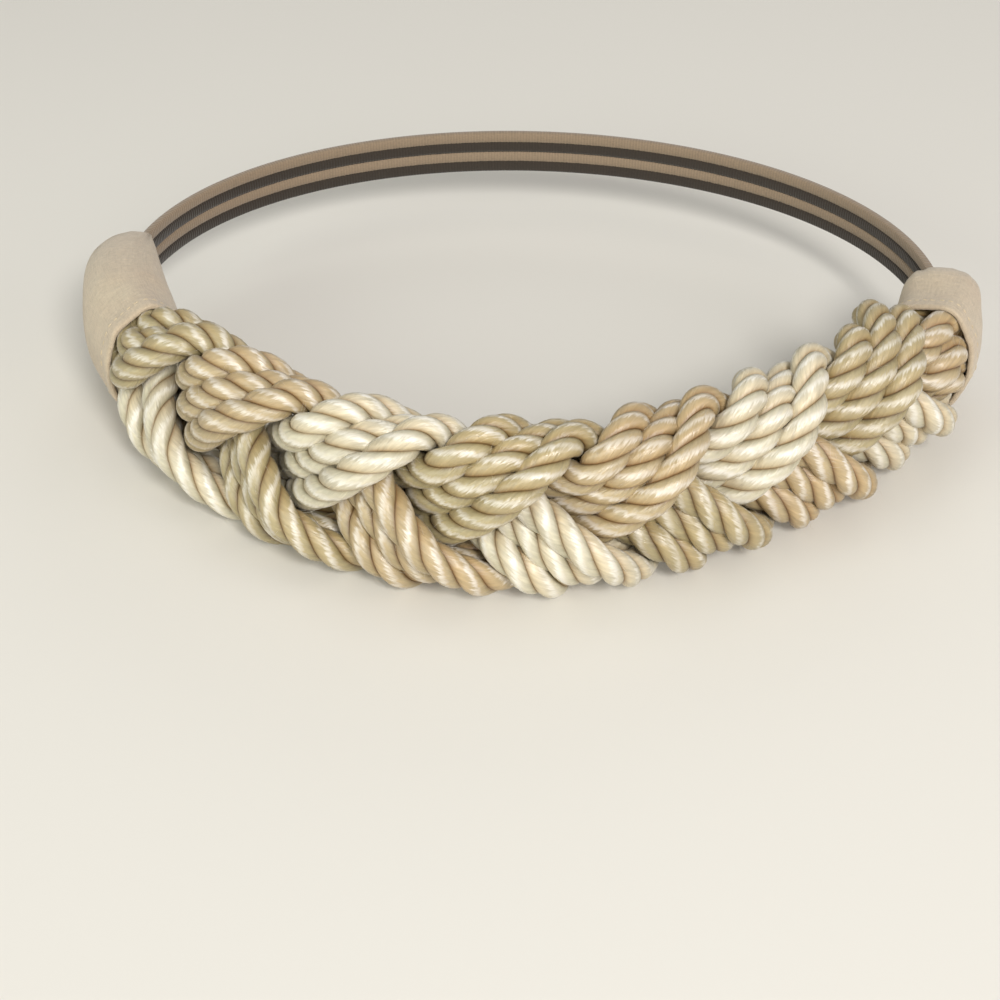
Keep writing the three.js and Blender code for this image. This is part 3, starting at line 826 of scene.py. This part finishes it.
class BELT_OT_sleeves(bpy.types.Operator):
    """Sew a cloth sleeve over each end of the plait"""

    bl_idname = "belt.sleeves"
    bl_label = "Sew the sleeves"

    def execute(self, context):
        sizes, colours = context.scene.belt_sizes, context.scene.belt_colours
        loop = Loop(sizes)
        cloth = cloth_finish("sleeve_cloth", colours.cloth)
        thread = thread_finish("sleeve_thread", colours.thread)
        cords = settled_cords(sizes, loop)
        for name, side in (("left", 1), ("right", -1)):
            sleeve = Sleeve(sizes, loop, side, cords)
            shape = Shape()
            turn = 2 * np.pi * np.arange(SLEEVE_SIDES) / SLEEVE_SIDES
            rows = np.linspace(0, sleeve.length, round(sleeve.length / SLEEVE_STEP) + 1)
            along, angle = np.meshgrid(rows, turn, indexing="ij")
            outside = sleeve.surface(along, angle)
            inside = sleeve.surface(along, angle, sizes.sleeve_wall)[::-1]
            # The fold at each end turns over in a half round.
            rings = np.concatenate([outside, self.fold(outside[-1], inside[0], side), inside,
                                    self.fold(inside[-1], outside[0], -side)])
            girth = np.linalg.norm(np.diff(outside[0], axis=0, append=outside[0][:1]), axis=1).sum()
            run = np.concatenate([[0], np.cumsum(np.linalg.norm(np.diff(rings, axis=0), axis=-1).mean(1))])
            run = np.append(run, run[-1] + LAST_STEP)
            shape.tube(rings, run, np.arange(SLEEVE_SIDES + 1) / SLEEVE_SIDES * girth, closed=True)
            piece = shape.piece(f"sleeve_cloth_{name}", "sleeve_cloth", [f"sleeve_{name}"], cloth)
            stitches = Shape()
            self.hem_stitches(stitches, sleeve, girth)
            seam = stitches.piece(f"sleeve_stitches_{name}", "sleeve_cloth", [], thread)
            across = np.linalg.norm(np.diff(outside, axis=1, append=outside[:, :1]), axis=2).sum(1)
            area = float(across.mean() * sleeve.length)
        return {"FINISHED"}

    def fold(self, outer, inner, direction):
        """Rings that carry one face of the cloth round its edge to the other."""
        middle, half = (outer + inner) / 2, (outer - inner) / 2
        thickness = np.linalg.norm(half, axis=-1, keepdims=True)
        round_ = np.roll(outer, -1, axis=0) - np.roll(outer, 1, axis=0)
        past = unit(np.cross(unit(half), unit(round_))) * thickness * -direction
        lean = np.radians([45, 90, 135])
        return np.stack([middle + half * math.cos(a) + past * math.sin(a) for a in lean])

    def hem_stitches(self, shape, sleeve, girth):
        """A row of running stitches that holds the hem, each diving into the cloth at both ends."""
        count = round(girth / STITCH_PITCH)
        reach = STITCH_LENGTH / girth * math.pi
        steps = np.linspace(-1, 1, len(STITCH_FORM))
        sunk = STITCH_RADIUS * (STITCH_DIVE * steps ** 4 - STITCH_STANDS)
        angle = 2 * np.pi * np.arange(STITCH_SIDES) / STITCH_SIDES
        thin = STITCH_RADIUS * STITCH_FORM[:, None, None]
        for i in range(count):
            turn = 2 * np.pi * (i + 0.5) / count + reach * steps
            along = np.full_like(turn, STITCH_PLACE * sleeve.sizes.hem_width)
            line = sleeve.surface(along, turn)
            inward = unit(sleeve.surface(along, turn, sleeve.sizes.sleeve_wall) - line)
            line = line + inward * sunk[:, None]
            _, out, other = line_sides(line, -inward)
            ring = line[:, None] + thin * (np.cos(angle)[None, :, None] * out[:, None]
                                           + np.sin(angle)[None, :, None] * other[:, None])
            shape.tube(ring, np.linspace(0, STITCH_LENGTH, len(steps)),
                       np.arange(STITCH_SIDES + 1) / STITCH_SIDES)


STRAP_TAIL = 0.016
STRAP_STEP = 0.0022
STRAP_GROOVE = 0.0005
# Where each rib begins and ends, as shares of the strap's height from its upper edge down.
STRAP_RIBS = ((0, 0.22), (0.25, 0.48), (0.51, 0.72), (0.75, 1))
# A rib's section: shares of its width, and how far its face is sunk there, in shares of the groove.
RIB_FORM = ((0, 1), (0.06, 0.45), (0.2, 0.1), (0.5, 0), (0.8, 0.1), (0.94, 0.45), (1, 1))


class BELT_OT_strap(bpy.types.Operator):
    """Weave the ribbed elastic strap that closes the loop"""

    bl_idname = "belt.strap"
    bl_label = "Weave the strap"

    def execute(self, context):
        sizes, colours = context.scene.belt_sizes, context.scene.belt_colours
        loop = Loop(sizes)
        first = sizes.plait_left + sizes.sleeve_left_length - STRAP_TAIL
        last = loop.total - sizes.plait_right - sizes.sleeve_right_length + STRAP_TAIL
        steps = math.ceil((last - first) / STRAP_STEP)
        along = np.linspace(first, last, steps + 1)
        half = sizes.strap_thickness / 2
        face = []
        for top, bottom in STRAP_RIBS:
            # Each rib is gently rounded, with its edges turned down into the grooves.
            for t, sunk in RIB_FORM:
                face.append((mix(top, bottom, t), half - STRAP_GROOVE * sunk))
        down = np.array([f[0] for f in face] + [f[0] for f in face[::-1]])
        out = np.array([f[1] for f in face] + [-f[1] for f in face[::-1]])
        places, turns = np.meshgrid(along, np.arange(len(down)), indexing="ij")
        rings = loop.belt(places, out[turns], sizes.strap_height * (0.5 - down[turns]))
        shape = Shape()
        shape.tube(rings, along, np.append(down, down[0]))
        shape.piece("strap_elastic", "elastic", ["back_strap"],
                    strap_finish("ribbed_elastic", colours.strap_tan, colours.strap_brown))
        return {"FINISHED"}


# Stage

# The camera's distance, its angles in degrees and its lens in widths of the picture, then how far right
# of and above the picture's middle the middle of the waist lies, as shares of that width.
VIEW_DISTANCE = 0.65
VIEW_TURN = 5.0
VIEW_RISE = 30.0
FOCAL = 1.937
BELT_PLACE = (0.027, 0.208)
SENSOR_WIDTH = 36
NEAREST = 0.01

FLOOR_SIZE = 24.0
FLOOR_GAP = 0.0015
ROOM_TINT = (1.0, 0.99, 0.97, 1.0)
ROOM_STRENGTH = 0.34
# Round soft lights that face the belt: width, place, power and tint.
LIGHTS = {
    "window": (0.54, (0.68, -1.58, 1.35), 30, (1.0, 0.98, 0.95)),
    "ceiling": (0.7, (-0.1, 0.1, 1.1), 1.2, (1.0, 0.99, 0.97)),
    "left_wall": (1.1, (-1.3, -1.2, 0.6), 10.5, (0.93, 1.0, 0.9)),
    "right_wall": (1.0, (1.5, -0.8, 0.7), 5, (1.0, 0.95, 1.0)),
    "room": (1.2, (0.1, -2.0, 0.9), 11, (1.0, 0.97, 0.93)),
    "far_wall": (1.2, (0.3, 1.9, 1.0), 5, (1.0, 0.99, 0.97)),
}


class BELT_OT_stage(bpy.types.Operator):
    """Set the floor, the camera and the soft lights"""

    bl_idname = "belt.stage"
    bl_label = "Set the stage"

    def execute(self, context):
        self.floor(context)
        self.camera(context)
        for name, (width, place, power, tint) in LIGHTS.items():
            self.light(name, width, place, power, tint)
        world = bpy.data.worlds.new("studio")
        world.use_nodes = True
        background = world.node_tree.nodes["Background"]
        background.inputs["Color"].default_value = ROOM_TINT
        background.inputs["Strength"].default_value = ROOM_STRENGTH
        context.scene.world = world
        context.scene.view_settings.view_transform = "Standard"
        return {"FINISHED"}

    def floor(self, context):
        bpy.ops.object.select_all(action="DESELECT")
        bpy.ops.mesh.primitive_plane_add(size=FLOOR_SIZE, location=(0, 0, 0))
        floor = context.object
        floor.name = "studio_floor"
        bpy.ops.object.mode_set(mode="EDIT")
        bpy.ops.mesh.select_all(action="SELECT")
        bpy.ops.transform.translate(value=(0, 0, CAD_BOX[0].z - FLOOR_GAP))
        bpy.ops.object.mode_set(mode="OBJECT")
        floor.data.materials.append(floor_finish("pale_floor", context.scene.belt_colours.floor))

    def camera(self, context):
        turn, rise = math.radians(VIEW_TURN), math.radians(VIEW_RISE)
        level = Vector((-math.sin(turn), math.cos(turn), 0)) * math.cos(rise)
        towards = level - Vector((0, 0, math.sin(rise)))
        right = Vector((math.cos(turn), math.sin(turn), 0))
        above = right.cross(towards)
        aim = towards - right * BELT_PLACE[0] / FOCAL - above * BELT_PLACE[1] / FOCAL
        turned = aim.to_track_quat("-Z", "Y").to_euler()
        bpy.ops.object.camera_add(location=-towards * VIEW_DISTANCE, rotation=turned)
        camera = context.object
        camera.data.sensor_width = SENSOR_WIDTH
        camera.data.lens = SENSOR_WIDTH * FOCAL
        camera.data.clip_start = NEAREST
        context.scene.camera = camera

    def light(self, name, width, place, power, tint):
        turned = (-Vector(place)).to_track_quat("-Z", "Y").to_euler()
        bpy.ops.object.light_add(type="AREA", location=place, rotation=turned)
        light = bpy.context.object
        light.name = name
        light.data.shape = "DISK"
        light.data.size = width
        light.data.energy = power
        light.data.color = tint


# The add-on


class BELT_PT_panel(bpy.types.Panel):
    """The belt's pieces and the sizes and colours behind them"""

    bl_idname = "BELT_PT_panel"
    bl_label = "Rope belt"
    bl_space_type = "VIEW_3D"
    bl_region_type = "UI"
    bl_category = "Rope belt"

    def draw(self, context):
        for group in (context.scene.belt_sizes, context.scene.belt_colours):
            box = self.layout.box()
            for name in group.__annotations__:
                box.prop(group, name)
        for operator in STEPS:
            self.layout.operator(operator.bl_idname)


STEPS = (BELT_OT_cords, BELT_OT_sleeves, BELT_OT_strap, BELT_OT_stage)
CLASSES = (BeltSizes, BeltColours, *STEPS, BELT_PT_panel)


def register():
    for each in CLASSES:
        bpy.utils.register_class(each)
    bpy.types.Scene.belt_sizes = PointerProperty(type=BeltSizes)
    bpy.types.Scene.belt_colours = PointerProperty(type=BeltColours)


def unregister():
    del bpy.types.Scene.belt_colours
    del bpy.types.Scene.belt_sizes
    for each in reversed(CLASSES):
        bpy.utils.unregister_class(each)


def main():
    register()
    bpy.ops.belt.cords()
    bpy.ops.belt.sleeves()
    bpy.ops.belt.strap()
    bpy.ops.belt.stage()


if __name__ == "__main__":
    main()
